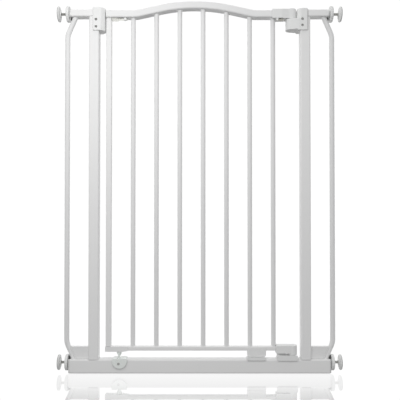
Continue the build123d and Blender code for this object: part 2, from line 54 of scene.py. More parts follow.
# ------------------------------------------------------------------ materials
def new_material(name):
    """Empty node material with a Principled shader: (material, tree, shader)."""
    mat = bpy.data.materials.new(name)
    mat.use_nodes = True
    tree = mat.node_tree
    tree.nodes.clear()
    out = tree.nodes.new("ShaderNodeOutputMaterial")
    bsdf = tree.nodes.new("ShaderNodeBsdfPrincipled")
    tree.links.new(bsdf.outputs["BSDF"], out.inputs["Surface"])
    return mat, tree, bsdf


def noise(tree, scale, detail=3.0, rough=0.55, stretch=None):
    """Noise texture in object space, in metres times scale."""
    coord = tree.nodes.new("ShaderNodeTexCoord")
    tex = tree.nodes.new("ShaderNodeTexNoise")
    tex.inputs["Scale"].default_value = scale
    tex.inputs["Detail"].default_value = detail
    tex.inputs["Roughness"].default_value = rough
    if stretch:
        mapping = tree.nodes.new("ShaderNodeMapping")
        mapping.inputs["Scale"].default_value = stretch
        tree.links.new(coord.outputs["Object"], mapping.inputs["Vector"])
        tree.links.new(mapping.outputs["Vector"], tex.inputs["Vector"])
    else:
        tree.links.new(coord.outputs["Object"], tex.inputs["Vector"])
    return tex


def ramp(tree, source, stops):
    """Colour ramp fed by a factor; stops are (place, grey or rgb)."""
    node = tree.nodes.new("ShaderNodeValToRGB")
    while len(node.color_ramp.elements) < len(stops):
        node.color_ramp.elements.new(0.5)
    for element, (place, value) in zip(node.color_ramp.elements, stops):
        element.position = place
        rgb = value if isinstance(value, (list, tuple)) else (value, value, value)
        element.color = (*rgb, 1.0)
    tree.links.new(source, node.inputs["Fac"])
    return node


def bump(tree, bsdf, source, strength, distance):
    """Bump fed by a height."""
    node = tree.nodes.new("ShaderNodeBump")
    node.inputs["Strength"].default_value = strength
    node.inputs["Distance"].default_value = distance
    tree.links.new(source, node.inputs["Height"])
    tree.links.new(node.outputs["Normal"], bsdf.inputs["Normal"])


def painted_crease_shade(tree, bsdf, source, reach, darkest_painted_shade):
    """Base colour with painted shade: it darkens in the narrow gaps where pieces meet."""
    near = tree.nodes.new("ShaderNodeAmbientOcclusion")
    near.samples = 6
    near.inputs["Distance"].default_value = reach
    # painted shade: the occlusion ramp darkens the colour, most in the tightest gaps
    depth = ramp(tree, near.outputs["AO"], ((0.30, darkest_painted_shade), (0.88, 1.0)))
    mix = tree.nodes.new("ShaderNodeMix")
    mix.data_type = "RGBA"
    mix.blend_type = "MULTIPLY"
    mix.inputs["Factor"].default_value = 1.0
    tree.links.new(source, mix.inputs["A"])
    tree.links.new(depth.outputs["Color"], mix.inputs["B"])
    tree.links.new(mix.outputs["Result"], bsdf.inputs["Base Color"])


def coat_paint():
    """White powder coat: orange peel, faint mottling, a painted highlight that lightens sharp edges, and
    painted shade in creases.
    """
    mat, tree, bsdf = new_material("white_powder_coat")
    mottle = noise(tree, 9.0, 4.0, 0.6)
    tone = ramp(tree, mottle.outputs["Fac"], ((0.3, (0.855, 0.856, 0.857)), (0.7, (0.872, 0.873, 0.873))))
    # painted highlight: sharp edges, found by pointiness, are mixed towards a lighter white
    geo = tree.nodes.new("ShaderNodeNewGeometry")
    painted_edge_highlight = ramp(tree, geo.outputs["Pointiness"], ((0.5, 0.0), (0.62, 1.0)))
    mix = tree.nodes.new("ShaderNodeMix")
    mix.data_type = "RGBA"
    mix.inputs["B"].default_value = (0.90, 0.90, 0.898, 1)
    tree.links.new(painted_edge_highlight.outputs["Color"], mix.inputs["Factor"])
    tree.links.new(tone.outputs["Color"], mix.inputs["A"])
    # painted shade: the colour darkens where pieces meet
    painted_crease_shade(tree, bsdf, mix.outputs["Result"], 0.003, 0.62)
    sheen = ramp(tree, noise(tree, 60.0, 3.0).outputs["Fac"], ((0.35, 0.33), (0.7, 0.42)))
    tree.links.new(sheen.outputs["Color"], bsdf.inputs["Roughness"])
    bsdf.inputs["Specular IOR Level"].default_value = 0.45
    bsdf.inputs["Coat Weight"].default_value = 0.12
    bsdf.inputs["Coat Roughness"].default_value = 0.22
    peel = noise(tree, 900.0, 2.0, 0.5)
    bump(tree, bsdf, peel.outputs["Fac"], 0.12, 0.00025)
    return mat


def plastic(name, colour, rough, grain, subsurface=0.0):
    """Moulded plastic: fine spark-eroded grain, soft uneven sheen, and painted shade where pieces meet."""
    mat, tree, bsdf = new_material(name)
    dark = tuple(c * 0.975 for c in colour)
    tone = ramp(tree, noise(tree, 22.0, 4.0, 0.6).outputs["Fac"], ((0.3, dark), (0.7, colour)))
    # painted shade: the colour darkens in the narrow gaps where pieces meet
    painted_crease_shade(tree, bsdf, tone.outputs["Color"], 0.0025, 0.7)
    sheen = ramp(tree, noise(tree, 140.0, 3.0).outputs["Fac"], ((0.3, rough - 0.05), (0.7, rough + 0.06)))
    tree.links.new(sheen.outputs["Color"], bsdf.inputs["Roughness"])
    bsdf.inputs["Specular IOR Level"].default_value = 0.42
    if subsurface:
        bsdf.inputs["Subsurface Weight"].default_value = subsurface
        bsdf.inputs["Subsurface Radius"].default_value = (0.004, 0.004, 0.004)
        bsdf.inputs["Subsurface Scale"].default_value = 0.6
    bump(tree, bsdf, noise(tree, grain, 2.0, 0.5).outputs["Fac"], 0.18, 0.00012)
    return mat


def metal(name, colour, rough, streak, stretch=None):
    """Zinc-plated or bare steel: streaked sheen and cloudy plating."""
    mat, tree, bsdf = new_material(name)
    cloud = noise(tree, 180.0, 5.0, 0.65)
    dark = tuple(c * 0.62 for c in colour)
    tone = ramp(tree, cloud.outputs["Fac"], ((0.28, dark), (0.62, colour)))
    tree.links.new(tone.outputs["Color"], bsdf.inputs["Base Color"])
    bsdf.inputs["Metallic"].default_value = 1.0
    lines = noise(tree, streak, 4.0, 0.6, stretch)
    sheen = ramp(tree, lines.outputs["Fac"], ((0.3, rough - 0.08), (0.7, rough + 0.12)))
    tree.links.new(sheen.outputs["Color"], bsdf.inputs["Roughness"])
    bump(tree, bsdf, lines.outputs["Fac"], 0.15, 0.00005)
    return mat


def rubber():
    """Soft grey rubber with a dusty bloom."""
    mat, tree, bsdf = new_material("pad_rubber")
    bloom = noise(tree, 120.0, 5.0, 0.65)
    tone = ramp(tree, bloom.outputs["Fac"], ((0.3, (0.36, 0.36, 0.355)), (0.7, (0.46, 0.46, 0.455))))
    tree.links.new(tone.outputs["Color"], bsdf.inputs["Base Color"])
    bsdf.inputs["Roughness"].default_value = 0.78
    bsdf.inputs["Specular IOR Level"].default_value = 0.3
    bump(tree, bsdf, noise(tree, 1400.0, 2.0).outputs["Fac"], 0.3, 0.0001)
    return mat


SLOTS = {
    "white_powder_coat": coat_paint(),
    "white_plastic": plastic("white_plastic", (0.885, 0.89, 0.885), 0.42, 2600.0),
    "clear_white_plastic": plastic("clear_white_plastic", (0.93, 0.975, 0.945), 0.28, 1800.0, 0.15),
    "zinc_screw": metal("zinc_screw", (0.42, 0.42, 0.41), 0.46, 700.0),
    "zinc_steel": metal("zinc_steel", (0.86, 0.86, 0.82), 0.42, 300.0, (0.05, 1, 1)),
    "threaded_steel": metal("threaded_steel", (0.50, 0.50, 0.48), 0.40, 500.0),
    "spring_steel": metal("spring_steel", (0.56, 0.55, 0.50), 0.36, 600.0),
    "pad_rubber": rubber(),
}
# dark plastic of the plug tabs; the same colour also serves as painted shadow under the plate lips
DARK_TAB_AND_SHADOW_PLASTIC = plastic("dark_tab_plastic", (0.085, 0.085, 0.085), 0.5, 2200.0)
NODE_SLOT = {entry["node"]: entry["material_slot"] for entry in RECORD["subparts"]}
NODE_BODY = {name: body for body, names in RECORD["behaviour"]["bodies"].items() for name in names}


def paint(obj, material):
    """Give a piece one material in place of what it has."""
    obj.data.materials.clear()
    obj.data.materials.append(material)


for name, slot_name in NODE_SLOT.items():
    paint(NODES[name], SLOTS[slot_name])
# the guide is shown as bare metal, although its record slot is the white coat
paint(NODES["bolt_guide"], SLOTS["zinc_steel"])


# ------------------------------------------------------------------ mesh helpers
def make_piece(name, verts, faces, slot_name, sharp=32.0):
    """Mesh object with outward normals, smooth shading and sharp edges by angle."""
    mesh = bpy.data.meshes.new(name)
    bm = bmesh.new()
    made = [bm.verts.new(v) for v in verts]
    for face in faces:
        try:
            bm.faces.new([made[k] for k in face])
        except ValueError:
            pass
    bmesh.ops.remove_doubles(bm, verts=bm.verts, dist=1e-7)
    bmesh.ops.recalc_face_normals(bm, faces=bm.faces)
    bm.to_mesh(mesh)
    bm.free()
    mesh.polygons.foreach_set("use_smooth", [True] * len(mesh.polygons))
    mesh.set_sharp_from_angle(angle=math.radians(sharp))
    mesh.materials.append(SLOTS[slot_name])
    obj = bpy.data.objects.new(name, mesh)
    SCENE.collection.objects.link(obj)
    return obj


def stand_in(obj, node):
    """obj takes the place of a CAD node and moves with its body."""
    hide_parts(node)
    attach(obj, NODE_BODY[node])


def extra(obj, body):
    """A small piece with no CAD node of its own, such as a weld bead."""
    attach(obj, body)


def skin(rings, loop=False):
    """Vertices and faces of a surface through equal rings of points, capped unless it is a loop."""
    count = len(rings[0])
    verts = [p for ring in rings for p in ring]
    faces = []
    last = len(rings) if loop else len(rings) - 1
    for r in range(last):
        a = r * count
        b = ((r + 1) % len(rings)) * count
        for k in range(count):
            n = (k + 1) % count
            faces.append((a + k, a + n, b + n, b + k))
    if not loop:
        faces.append(tuple(range(count)))
        base = (len(rings) - 1) * count
        faces.append(tuple(base + k for k in reversed(range(count))))
    return verts, faces


def basis(axis):
    """Two unit vectors square to an axis."""
    axis = axis.normalized()
    side = Vector((0, 0, 1)) if abs(axis.z) < 0.9 else Vector((1, 0, 0))
    u = axis.cross(side).normalized()
    return u, axis.cross(u).normalized()


def lathe(name, origin, axis, profile, slot_name, segments=72, loop=False, shape=None, sharp=32.0):
    """Turned piece: profile is (distance along the axis, radius) in mm, shape bends it by angle."""
    axis = axis.normalized()
    u, v = basis(axis)
    rings = []
    for t, r in profile:
        ring = []
        for k in range(segments):
            angle = 2 * math.pi * k / segments
            tt, rr = shape(t, r, angle) if shape else (t, r)
            ring.append(origin + axis * (tt * MM) + (u * math.cos(angle) + v * math.sin(angle)) * (rr * MM))
        rings.append(ring)
    verts, faces = skin(rings, loop=loop)
    return make_piece(name, verts, faces, slot_name, sharp)


def sweep(name, path, radius, slot_name, segments=16, closed=False, sharp=60.0):
    """Round wire or bead along a path; radius is a number in mm or a function of the point number."""
    count = len(path)
    rings = []
    normal = None
    for k in range(count):
        if closed:
            tangent = (path[(k + 1) % count] - path[k - 1]).normalized()
        else:
            tangent = (path[min(k + 1, count - 1)] - path[max(k - 1, 0)]).normalized()
        if normal is None:
            normal = basis(tangent)[0]
        normal = (normal - tangent * normal.dot(tangent)).normalized()
        other = tangent.cross(normal)
        r = (radius(k) if callable(radius) else radius) * MM
        ring = []
        for m in range(segments):
            angle = 2 * math.pi * m / segments
            ring.append(path[k] + normal * (r * math.cos(angle)) + other * (r * math.sin(angle)))
        rings.append(ring)
    verts, faces = skin(rings, loop=closed)
    return make_piece(name, verts, faces, slot_name, sharp)


def hit(node, start, direction, reach=0.08):
    """Where a ray first meets a CAD node, or None."""
    found, place, _, _ = NODES[node].ray_cast(start, direction, distance=reach)
    return place if found else None


# ------------------------------------------------------------------ bars: round tube with weld fillets
# height where every bar is plain tube, and half the depth of the bottom rail that a fillet may cover
BAR_NECK_Z = 0.93
RAIL_FLAT = 0.0073


def bar(node):
    """Round bar whose ends flow into the rails as weld fillets."""
    low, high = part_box(node)
    centre = (low + high) / 2
    radius = (high.x - low.x) / 2
    count = 40
    flare = ((0.02, 1.75), (0.25, 1.35), (0.7, 0.72), (1.3, 0.28), (2.1, 0.06), (3.0, 0.0))
    foot_rings, head_rings = [], []
    for rise, wide in flare:
        foot, head = [], []
        for k in range(count):
            angle = 2 * math.pi * k / count
            ripple = 1 + 0.10 * math.sin(9 * angle + low.x * 900)
            r = radius + wide * ripple * MM
            x = centre.x + r * math.cos(angle)
            y = centre.y + r * math.sin(angle)
            on_rail = max(-RAIL_FLAT, min(RAIL_FLAT, y))
            floor = hit("door_bottom_rail", Vector((x, on_rail * 0.97, 0.12)), Vector((0, 0, -1)))
            z_floor = floor.z if floor else low.z
            roof = hit("door_top_rail", Vector((x, y, BAR_NECK_Z)), Vector((0, 0, 1)), 0.2)
            z_roof = roof.z if roof else high.z
            foot.append(Vector((x, on_rail if rise < 1 else y, z_floor + rise * MM)))
            head.append(Vector((x, y, z_roof - rise * MM)))
        foot_rings.append(foot)
        head_rings.append(head)
    middle = []
    for k in range(1, 12):
        z = foot_rings[-1][0].z + (BAR_NECK_Z - foot_rings[-1][0].z) * k / 12
        ring = []
        for m in range(count):
            angle = 2 * math.pi * m / count
            across, deep = radius * math.cos(angle), radius * math.sin(angle)
            ring.append(Vector((centre.x + across, centre.y + deep, z)))
        middle.append(ring)
    rings = foot_rings + middle + list(reversed(head_rings))
    verts, faces = skin(rings)
    stand_in(make_piece("tube_" + node, verts, faces, "white_powder_coat", 50), node)


for number in range(1, 8):
    bar("bar_%d" % number)


# ------------------------------------------------------------------ side rods: bent round tube
# centre line of the right rod: where it starts and ends, the heights of its two corners, their radius
ROD_RADIUS = 7.0 * MM
ROD_FOOT_X = 0.352
ROD_HEAD_X = 0.3505
ROD_LOW_BEND_Z = 0.084
ROD_HIGH_BEND_Z = 0.947
ROD_BEND = 0.050


def arc_path(corners, bend, step):
    """Points along a polyline whose inner corners are rounded to one radius."""
    path = [corners[0]]
    for k in range(1, len(corners) - 1):
        before = (corners[k - 1] - corners[k]).normalized()
        after = (corners[k + 1] - corners[k]).normalized()
        half = before.angle(after) / 2
        reach = bend / math.tan(half)
        centre = corners[k] + (before + after).normalized() * (bend / math.sin(half))
        start = corners[k] + before * reach
        end = corners[k] + after * reach
        turn = math.pi - 2 * half
        parts = max(6, int(bend * turn / step))
        arm = start - centre
        axle = arm.cross(end - centre).normalized()
        for m in range(parts + 1):
            path.append(centre + Matrix.Rotation(turn * m / parts, 3, axle) @ arm)
    path.append(corners[-1])
    full = [path[0]]
    for point in path[1:]:
        gap = (point - full[-1]).length
        parts = int(gap / 0.06)
        origin = full[-1]
        for m in range(1, parts + 1):
            full.append(origin.lerp(point, m / (parts + 1)))
        full.append(point)
    return full


def side_rod(node, side):
    """Bent rod at the side, with weld fillets at foot and head."""
    low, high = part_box(node)
    outer = (high.x if side > 0 else -low.x) - ROD_RADIUS
    foot = Vector((side * ROD_FOOT_X, 0, low.z - 0.0005))
    head = Vector((side * ROD_HEAD_X, 0, high.z + 0.0005))
    low_bend = Vector((side * outer, 0, ROD_LOW_BEND_Z))
    high_bend = Vector((side * outer, 0, ROD_HIGH_BEND_Z))
    path = arc_path([foot, low_bend, high_bend, head], ROD_BEND, 0.0025)
    count = 40
    rings = []
    for k, point in enumerate(path):
        tangent = (path[min(k + 1, len(path) - 1)] - path[max(k - 1, 0)]).normalized()
        normal = Vector((0, 1, 0))
        other = tangent.cross(normal)
        ring = []
        for m in range(count):
            angle = 2 * math.pi * m / count
            ring.append(point + (normal * math.cos(angle) + other * math.sin(angle)) * ROD_RADIUS)
        rings.append(ring)
    flare = ((0.02, 1.7), (0.3, 1.25), (0.9, 0.6), (1.7, 0.2), (2.6, 0.0))

    def ending(ring, tangent, plane_z, up):
        """Rings of the fillet where the rod meets a flat face."""
        rows = []
        middle = sum(ring, Vector()) / len(ring)
        for rise, wide in flare:
            row = []
            for m, point in enumerate(ring):
                shift = (plane_z + up * rise * MM - point.z) / tangent.z
                out = (point - middle).normalized() * wide * MM * (1 + 0.1 * math.sin(0.9 * m))
                moved = point + tangent * shift + out
                moved.z = plane_z + up * rise * MM
                row.append(moved)
            rows.append(row)
        return rows

    first = (path[1] - path[0]).normalized()
    final = (path[-1] - path[-2]).normalized()
    lowest, highest = low.z + 0.006, high.z - 0.006
    inner = [ring for ring in rings if min(p.z for p in ring) > lowest and max(p.z for p in ring) < highest]
    tail = list(reversed(ending(rings[-1], final, high.z, -1)))
    verts, faces = skin(ending(rings[0], first, low.z, 1) + inner + tail)
    stand_in(make_piece("bent_" + node, verts, faces, "white_powder_coat", 50), node)


for side_name, wall_side in SIDES:
    side_rod(side_name + "_side_rod", wall_side)


# ------------------------------------------------------------------ wheel nuts, threaded spindles, wall pads
def wheel_nut(node, side):
    """Scalloped wheel nut with ribs in its dished face."""
    low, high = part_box(node)
    centre = (low + high) / 2
    start = low.x if side > 0 else high.x
    origin = Vector((start, centre.y, centre.z))
    top = (high.x - low.x) / MM
    profile = [
        (0.5, 4.06), (0.0, 4.6), (0.0, 8.8), (0.25, 9.3), (0.9, 9.8), (1.1, 11.0), (1.1, 16.6), (0.8, 18.2),
        (0.15, 19.2), (0.0, 20.0), (0.15, 21.0), (0.7, 21.9), (1.5, 22.35), (4.0, 22.45), (6.5, 22.35),
        (7.3, 21.9), (7.85, 21.0), (8.0, 20.0), (7.8, 19.2), (7.0, 18.5), (6.4, 17.6), (6.2, 16.4),
        (6.2, 10.6), (6.4, 9.2), (7.0, 8.4), (8.2, 7.9), (top - 0.6, 7.5), (top - 0.15, 7.2), (top, 6.7),
        (top, 4.7), (top - 0.5, 4.06),
    ]

    def grips(t, r, angle):
        """Scallops round the rim and ribs in the dish."""
        if r > 20.6:
            scallop = max(0.0, math.cos(20 * angle)) ** 6
            r -= 0.75 * scallop * min(1.0, (r - 20.6) / 1.2)
        if t > 6.0 and 9.0 < r < 17.9:
            rib = max(0.0, math.cos(3 * angle)) ** 60 + max(0.0, -math.cos(3 * angle)) ** 60
            t += 1.3 * min(1.0, rib * 1.6)
        return t, r

    out = Vector((side, 0, 0))
    piece = lathe("wheel_" + node, origin, out, profile, "white_plastic", 240, True, grips, 40)
    stand_in(piece, node)


def spindle(node, side):
    """Threaded rod with a 2 mm pitch and chamfered ends."""
    low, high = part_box(node)
    centre = (low + high) / 2
    length = (high.x - low.x) / MM
    start = low.x if side > 0 else high.x
    pitch, count = 2.0, 32
    crest, thread_depth = 3.98, 0.72
    rings = []
    steps = int(length / 0.22)
    for k in range(steps + 1):
        t = length * k / steps
        ring = []
        for m in range(count):
            angle = 2 * math.pi * m / count
            phase = (t / pitch - m / count) % 1.0
            tooth = min(1.0, max(0.0, (abs(phase - 0.5) - 0.12) / 0.22))
            r = crest - thread_depth * tooth
            ends = min(t, length - t)
            if ends < 0.8:
                r = min(r, crest - (0.8 - ends))
            y = centre.y + r * MM * math.cos(angle)
            z = centre.z + side * r * MM * math.sin(angle)
            ring.append(Vector((start + side * t * MM, y, z)))
        rings.append(ring)
    verts, faces = skin(rings)
    stand_in(make_piece("thread_" + node, verts, faces, "threaded_steel", 70), node)


def pad_cup(node, side):
    """Dished cup that holds the wall pad."""
    low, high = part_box(node)
    centre = (low + high) / 2
    start = low.x if side > 0 else high.x
    profile = [
        (0.4, 4.03), (0.0, 4.6), (0.0, 7.2), (0.25, 7.8), (1.2, 8.15), (2.0, 8.7), (2.35, 9.8), (2.5, 12.0),
        (2.75, 15.0), (3.2, 18.0), (3.7, 19.8), (4.3, 20.9), (5.0, 21.4), (5.6, 21.5), (6.1, 21.4),
        (6.35, 21.1), (6.4, 20.7), (6.4, 5.0), (5.2, 4.6), (5.0, 4.03),
    ]
    origin = Vector((start, centre.y, centre.z))
    out = Vector((side, 0, 0))
    piece = lathe("cup_" + node, origin, out, profile, "white_plastic", 120, True, None, 40)
    stand_in(piece, node)


def wall_pad(node, side):
    """Rubber disc with round grooves on the wall face."""
    low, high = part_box(node)
    centre = (low + high) / 2
    start = low.x if side > 0 else high.x
    profile = [(0.0, 0.0), (0.0, 20.3), (0.35, 20.65), (1.2, 20.7), (1.75, 20.45), (2.0, 19.9)]
    for ring in (17.8, 14.8, 11.8, 8.8, 5.8):
        profile += [(2.0, ring + 0.5), (1.6, ring + 0.3), (1.6, ring - 0.3), (2.0, ring - 0.5)]
    profile += [(2.0, 3.0), (2.0, 0.0)]
    origin = Vector((start, centre.y, centre.z))
    out = Vector((side, 0, 0))
    piece = lathe("rubber_" + node, origin, out, profile, "pad_rubber", 120, False, None, 30)
    stand_in(piece, node)


for corner in ("upper_left", "upper_right", "lower_left", "lower_right"):
    wall_side = -1 if corner.endswith("left") else 1
    wheel_nut("wheel_nut_" + corner, wall_side)
    spindle("spindle_" + corner, wall_side)
    pad_cup("pad_cup_" + corner, wall_side)
    wall_pad("wall_pad_" + corner, wall_side)


# ------------------------------------------------------------------ dark locking tabs of the tube end plugs
# x of the inner and outer face of the tabs at the base bar and at the top rails
LOWER_TAB_X = (0.3612, 0.3663)
UPPER_TAB_X = (0.3588, 0.3636)
TAB_CORNER = 1.1
TAB_HALF_DEPTH = 4.6


def end_tab(name, side, span, edge_z, up):
    """Small rounded tab beside the wheel nut, on the side of the tube where the rod is welded."""
    inner, outer = span
    sections = []
    for rise, shrink in ((-0.8, 0.0), (0.0, 0.0), (5.6, 0.1), (7.4, 0.45), (8.4, 1.1), (8.9, 2.0)):
        ring = []
        for cx, cy, start in ((1, 1, 0), (-1, 1, 90), (-1, -1, 180), (1, -1, 270)):
            for k in range(5):
                angle = math.radians(start + 22.5 * k)
                x = cx * ((outer - inner) / MM / 2 - TAB_CORNER) + TAB_CORNER * math.cos(angle)
                y = cy * (TAB_HALF_DEPTH - TAB_CORNER) + TAB_CORNER * math.sin(angle)
                squeeze = 1 - shrink / 3.2
                place_x = side * (outer + inner) / 2 + x * squeeze * MM
                ring.append(Vector((place_x, 0.001 + y * squeeze * MM, edge_z + up * rise * MM)))
        sections.append(ring)
    verts, faces = skin(sections)
    tab = make_piece(name, verts, faces, "white_plastic", 40)
    paint(tab, DARK_TAB_AND_SHADOW_PLASTIC)
    extra(tab, "frame")


for side_name, wall_side in SIDES:
    end_tab("tab_lower_" + side_name, wall_side, LOWER_TAB_X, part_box("base_bar")[1].z, 1)
    end_tab("tab_upper_" + side_name, wall_side, UPPER_TAB_X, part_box(side_name + "_stub_rail")[0].z, -1)

# ------------------------------------------------------------------ screws: pan heads with a cross recess
HEAD_R = 3.35
HEAD_DEPTH = 2.2
CROSS_HALF_WIDTH = 0.55
CROSS_REACH = 2.3
SHANK_R = 1.85
SHANK_PITCH = 1.3


def head_depth(a, b, r):
    """How far below the crown of the head the surface lies at a point a, b of it, in mm."""
    crown = 0.55 * (r / HEAD_R) ** 2.6
    arm_a = max(0.0, 1 - (abs(a) / CROSS_HALF_WIDTH) ** 6) * max(0.0, 1 - (abs(b) / CROSS_REACH) ** 8)
    arm_b = max(0.0, 1 - (abs(b) / CROSS_HALF_WIDTH) ** 6) * max(0.0, 1 - (abs(a) / CROSS_REACH) ** 8)
    fade = 1 - 0.25 * r / CROSS_REACH if r < CROSS_REACH else 0.75
    return crown + 1.15 * min(1.0, max(arm_a, arm_b) * 1.5) * fade


def screw_head(x, z, front_y, first):
    """Vertices and faces of one head; first is the number of its first vertex."""
    rings, count = 26, 72
    verts, faces = [], []
    for r_step in range(rings + 1):
        r = HEAD_R * r_step / rings
        for k in range(count):
            angle = 2 * math.pi * k / count
            a, b = r * math.cos(angle), r * math.sin(angle)
            verts.append(Vector((x + a * MM, front_y + head_depth(a, b, r) * MM, z + b * MM)))
        if r_step:
            row, prior = first + r_step * count, first + (r_step - 1) * count
            for k in range(count):
                n = (k + 1) % count
                faces.append((prior + k, prior + n, row + n, row + k))
    edge = first + rings * count
    back = first + len(verts)
    for k in range(count):
        angle = 2 * math.pi * k / count
        rim_x, rim_z = x + HEAD_R * MM * math.cos(angle), z + HEAD_R * MM * math.sin(angle)
        verts.append(Vector((rim_x, front_y + HEAD_DEPTH * MM, rim_z)))
    for k in range(count):
        n = (k + 1) % count
        faces.append((edge + k, edge + n, back + n, back + k))
    faces.append(tuple(back + k for k in range(count)))
    return verts, faces


def screw_shank(x, z, front_y, depth):
    """Rings of the threaded shank behind a head, depth mm long."""
    rings, steps, count = [], 40, 24
    for s_step in range(steps + 1):
        t = depth * s_step / steps
        ring = []
        for k in range(count):
            phase = (t / SHANK_PITCH - k / count) % 1.0
            r = SHANK_R - 0.4 * abs(2 * phase - 1) - (0.9 * max(0.0, t - depth + 1.5) / 1.5)
            angle = 2 * math.pi * k / count
            place_y = front_y + (HEAD_DEPTH + t) * MM
            ring.append(Vector((x + r * MM * math.cos(angle), place_y, z + r * MM * math.sin(angle))))
        rings.append(ring)
    return rings


def screw_group(node, places, name):
    """All screws of one node as one piece."""
    low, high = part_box(node)
    depth = (high.y - low.y) / MM - HEAD_DEPTH
    verts, faces = [], []
    for x, z in places:
        head_verts, head_faces = screw_head(x, z, low.y, len(verts))
        verts += head_verts
        faces += head_faces
        shank_verts, shank_faces = skin(screw_shank(x, z, low.y, depth))
        first = len(verts)
        verts += shank_verts
        faces += [tuple(first + k for k in face) for face in shank_faces]
    stand_in(make_piece(name, verts, faces, "zinc_screw", 40), node)


HEAD_OVERALL = 6.8 * MM


def pair_places(node):
    """Centres of the upper and lower screw of a group."""
    low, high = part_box(node)
    x = (low.x + high.x) / 2
    return [(x, low.z + HEAD_OVERALL / 2), (x, high.z - HEAD_OVERALL / 2)]


screw_group("latch_housing_screws", pair_places("latch_housing_screws"), "latch_screws")
screw_group("hinge_housing_screws", pair_places("hinge_housing_screws"), "hinge_screws")
catch_low, catch_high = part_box("lower_catch_screw")
catch_place = ((catch_low.x + catch_high.x) / 2, (catch_low.z + catch_high.z) / 2)
screw_group("lower_catch_screw", [catch_place], "catch_screw")


# ------------------------------------------------------------------ locating cone and bolt knob
def locating_cone():
    """Clear cone under the latch corner of the door."""
    low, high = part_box("locating_cone")
    top = (high.z - low.z) / MM
    profile = [
        (0.0, 0.0), (0.0, 7.2), (0.5, 7.55), (1.5, 7.6), (3.2, 7.45), (5.0, 7.0), (7.0, 6.1), (9.0, 5.0),
        (11.0, 3.9), (12.8, 3.0), (14.2, 2.4), (top - 0.9, 2.1), (top - 0.3, 1.6), (top, 0.8), (top, 0.0),
    ]
    origin = Vector(((low.x + high.x) / 2, (low.y + high.y) / 2, high.z))
    cone = lathe("cone", origin, Vector((0, 0, -1)), profile, "clear_white_plastic", 72, False, None, 45)
    stand_in(cone, "locating_cone")


def bolt_knob():
    """Thumb knob of the bolt, with two grooves round it."""
    low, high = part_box("bolt_knob")
    depth = (high.y - low.y) / MM
    profile = [
        (0.0, 0.0), (0.0, 2.3), (2.0, 2.4), (2.1, 4.1), (2.4, 4.4), (3.2, 4.4), (3.5, 4.15), (3.8, 4.4),
        (4.6, 4.4), (4.9, 4.15), (5.2, 4.4), (6.2, 4.35), (7.2, 3.9), (depth - 0.25, 2.9), (depth, 1.6),
        (depth, 0.0),
    ]
    origin = Vector(((low.x + high.x) / 2, high.y, (low.z + high.z) / 2))
    knob = lathe("knob", origin, Vector((0, -1, 0)), profile, "white_plastic", 60, False, None, 40)
    stand_in(knob, "bolt_knob")


locating_cone()
bolt_knob()


# ------------------------------------------------------------------ closing spring: one continuous wire
COIL_R = 2.9 * MM
COIL_TURNS = 9
STEPS_A_TURN = 28
LOOP_STEPS = 40


def closing_spring():
    """Coil between two end loops, drawn as one wire and smoothed twice where the runs meet."""
    low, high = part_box("closing_spring")
    mid_y, mid_z = (low.y + high.y) / 2, (low.z + high.z) / 2
    left_x, right_x = low.x + 0.0035, high.x - 0.0035
    wire = []
    for k in range(LOOP_STEPS):
        angle = -0.35 * math.pi + 1.85 * math.pi * k / LOOP_STEPS
        wire.append(Vector((left_x - COIL_R * math.sin(angle), mid_y, mid_z - COIL_R * math.cos(angle))))
    coil_from, coil_to = left_x + 0.0042, right_x - 0.0040
    for k in range(COIL_TURNS * STEPS_A_TURN + 1):
        share = k / (COIL_TURNS * STEPS_A_TURN)
        angle = 2 * math.pi * COIL_TURNS * share
        x = coil_from + (coil_to - coil_from) * share
        wire.append(Vector((x, mid_y + COIL_R * math.sin(angle), mid_z + COIL_R * math.cos(angle))))
    for k in range(1, LOOP_STEPS + 1):
        angle = 1.85 * math.pi * k / LOOP_STEPS
        wire.append(Vector((right_x + COIL_R * math.sin(angle), mid_y, mid_z + COIL_R * math.cos(angle))))
    for _ in range(2):
        inner = [(wire[k - 1] + wire[k] * 2 + wire[k + 1]) / 4 for k in range(1, len(wire) - 1)]
        wire = [wire[0]] + inner + [wire[-1]]
    stand_in(sweep("spring_wire", wire, 0.58, "spring_steel", 12), "closing_spring")


closing_spring()


# ------------------------------------------------------------------ weld beads
BEAD_STEP = 0.5 * MM
UNDER_FACE = 0.0002


def bead(name, corners, body, radius, closed=False):
    """Rippled weld bead along straight runs between corners; its radius is in mm."""
    path = []
    runs = list(zip(corners, corners[1:] + corners[:1])) if closed else list(zip(corners, corners[1:]))
    for a, b in runs:
        parts = max(1, int((b - a).length / BEAD_STEP))
        path += [a.lerp(b, k / parts) for k in range(parts)]
    if not closed:
        path.append(corners[-1])

    def rippled(k):
        return radius + 0.11 * math.sin(2.1 * k) + 0.05 * math.sin(0.53 * k + 1)

    extra(sweep(name, path, rippled, "white_powder_coat", 10, closed), body)


def ring_round(low, high, z):
    """Corner points of a rounded rectangle in the XY plane."""
    cx, cy = (low.x + high.x) / 2, (low.y + high.y) / 2
    hx, hy, r = (high.x - low.x) / 2, (high.y - low.y) / 2, 0.004
    points = []
    for sx, sy, start in ((1, 1, 0), (-1, 1, 90), (-1, -1, 180), (1, -1, 270)):
        for k in range(5):
            angle = math.radians(start + 22.5 * k)
            x = cx + sx * (hx - r) + r * math.cos(angle)
            y = cy + sy * (hy - r) + r * math.sin(angle)
            points.append(Vector((x, y, z)))
    return points


def post_welds(side_name):
    """Beads round the foot and head of a post."""
    low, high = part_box(side_name + "_post")
    bead("weld_" + side_name + "_post_foot", ring_round(low, high, low.z + UNDER_FACE), "frame", 0.8, True)
    bead("weld_" + side_name + "_post_head", ring_round(low, high, high.z - UNDER_FACE), "frame", 0.8, True)


